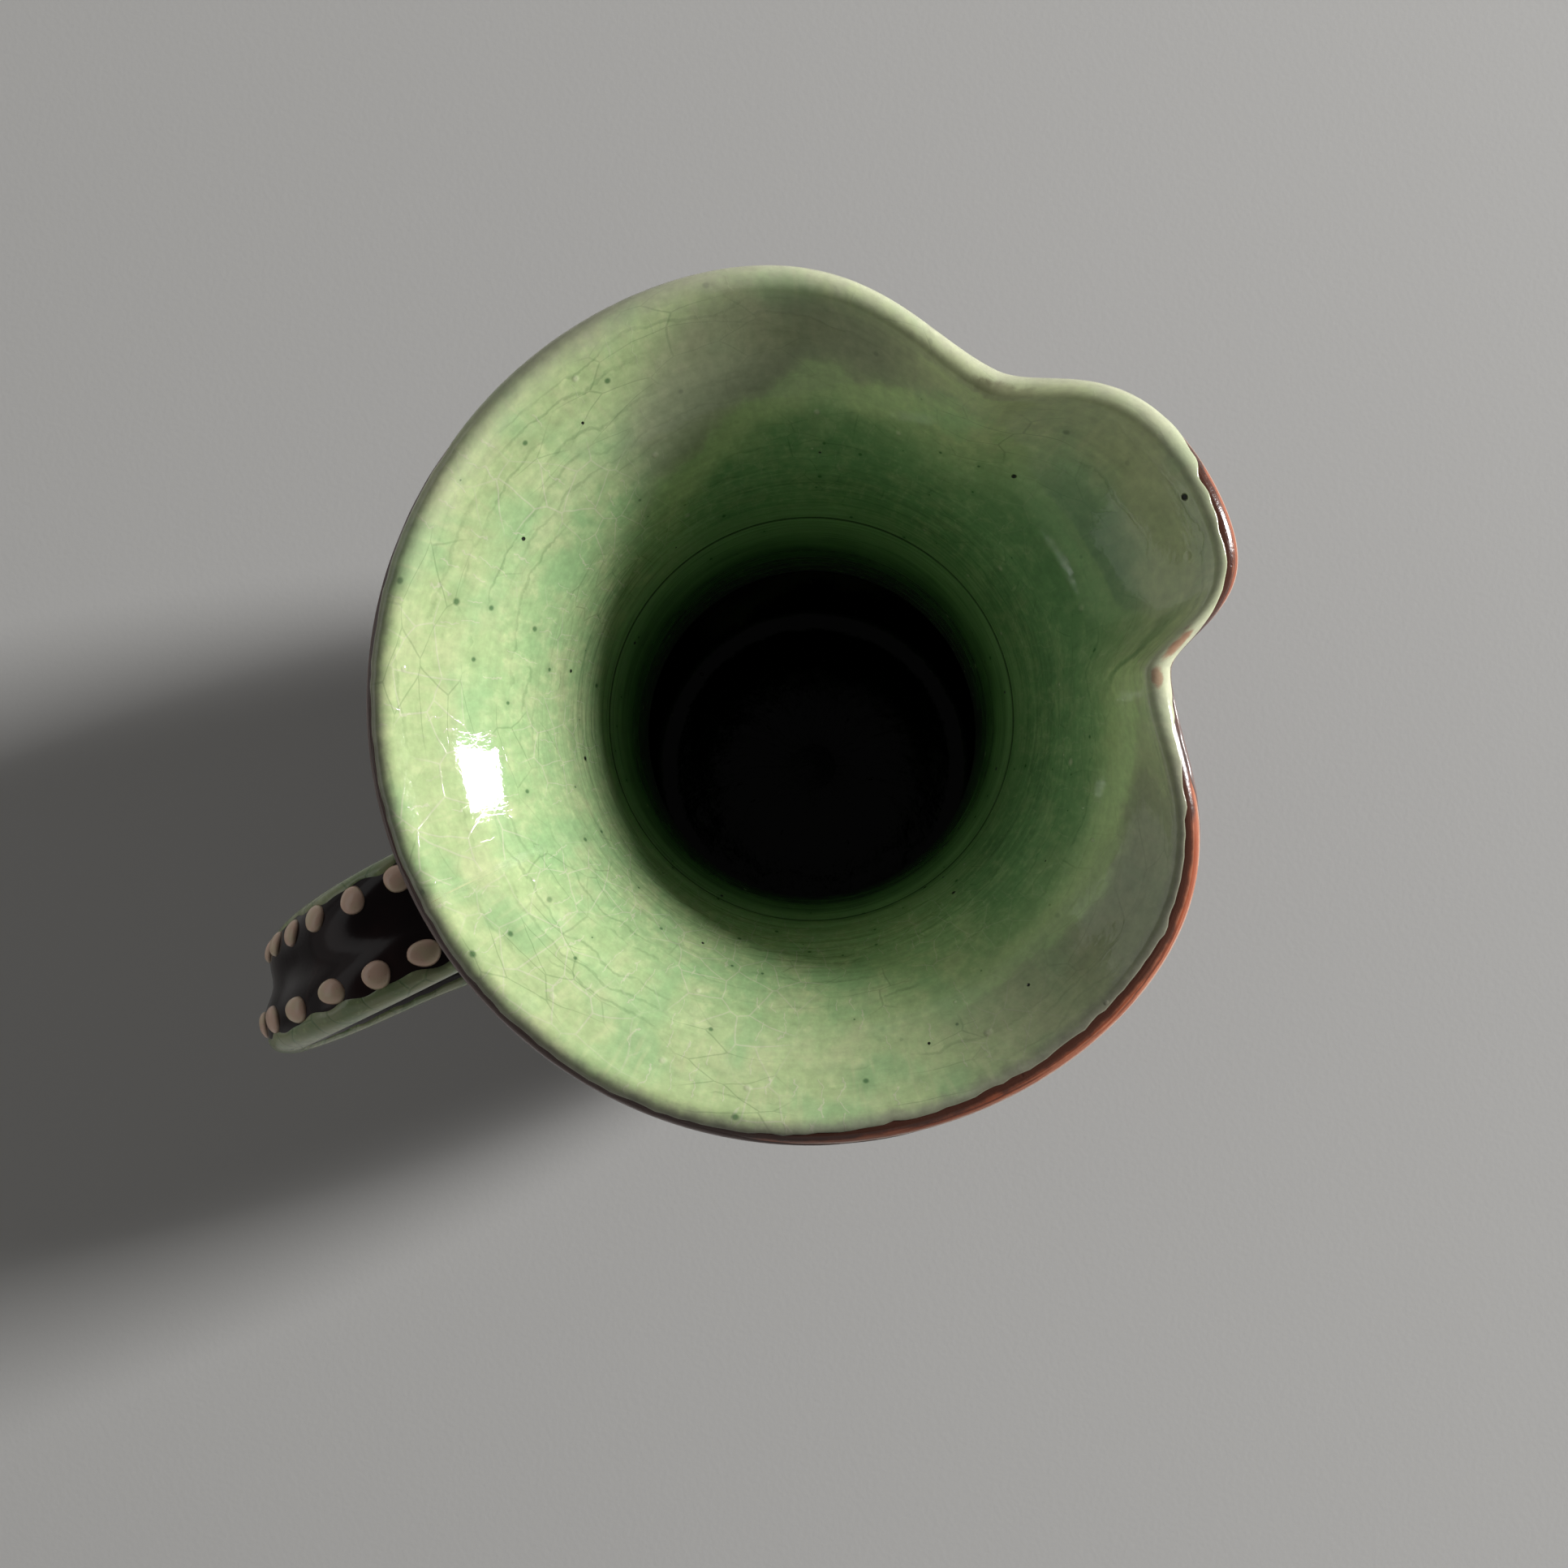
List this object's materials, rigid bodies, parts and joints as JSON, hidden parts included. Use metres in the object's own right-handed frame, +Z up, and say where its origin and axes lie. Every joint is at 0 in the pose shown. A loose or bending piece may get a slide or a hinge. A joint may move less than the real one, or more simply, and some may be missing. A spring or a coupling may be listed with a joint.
{
  "type": "pouring jug",
  "caption": "Hand-thrown earthenware pouring jug with a round belly, narrow neck, flared mouth pinched to a pulled lip, and a strap handle trimmed with slip dots.",
  "frame": {"origin": "middle of the flat base, on the surface that the jug stands on", "axes": "+Z up along the axis of the thrown body, +X out over the pouring lip, handle towards -X, +Y to the left of someone holding the handle"},
  "size_m": [0.1575, 0.1248, 0.1966],
  "materials": {
    "red_clay": "bare fired red earthenware, matt",
    "dark_slip": "glossy dark brown slip under clear glaze",
    "green_glaze": "glossy crackled green glaze",
    "cream_slip": "trailed cream slip under clear glaze"
  },
  "bodies": {
    "root": {"thrown_body": "red_clay", "flared_mouth": "red_clay", "strap_handle": "dark_slip", "upper_lute": "dark_slip", "lower_lute": "dark_slip", "slip_dots_left": "cream_slip", "slip_dots_right": "cream_slip", "edge_glaze_left": "green_glaze", "edge_glaze_right": "green_glaze", "body_lining": "green_glaze", "mouth_lining": "green_glaze", "body_slip": "dark_slip", "mouth_slip": "dark_slip"}
  },
  "joints": []
}
